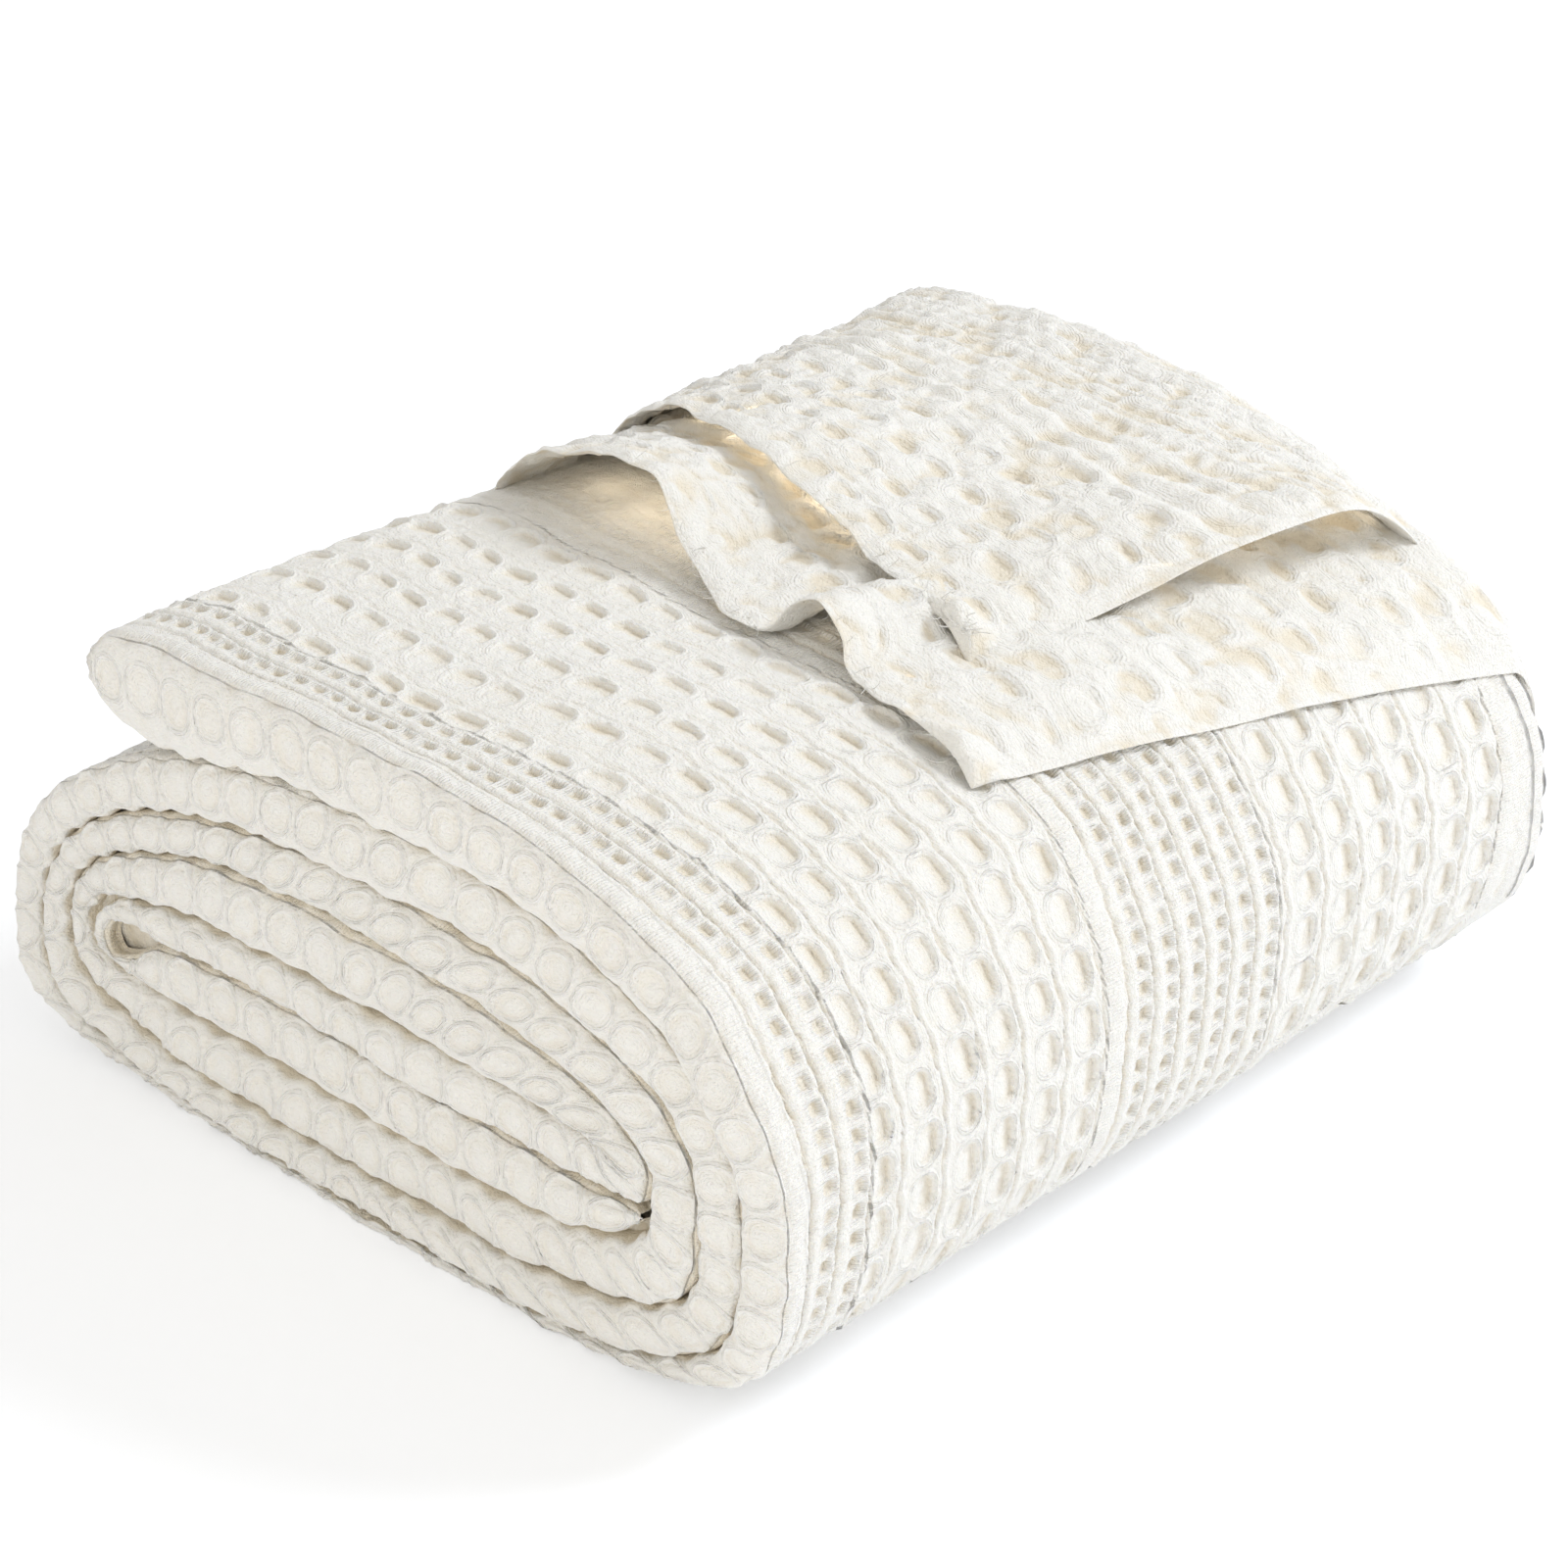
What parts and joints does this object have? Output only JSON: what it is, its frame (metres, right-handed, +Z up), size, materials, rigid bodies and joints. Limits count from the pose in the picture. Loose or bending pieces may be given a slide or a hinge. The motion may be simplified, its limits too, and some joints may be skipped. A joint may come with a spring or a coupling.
{
  "type": "waffle weave cotton blanket",
  "caption": "Thick honeycomb waffle cotton blanket, folded lengthwise and wound into a flattened roll, with two loose hemmed layers lying back over the top",
  "frame": {"origin": "bottom centre of the bounding box, on the surface the rolled blanket rests on", "axes": "+X the long way across the wound end, towards the plain wrapped side; +Y along the axis of the roll, away from the wound end; +Z up"},
  "size_m": [0.3416, 0.3726, 0.1949],
  "materials": {
    "waffle_cotton": "matte woven cotton, off-white"
  },
  "bodies": {
    "root": {"blanket": "waffle_cotton"}
  },
  "joints": []
}
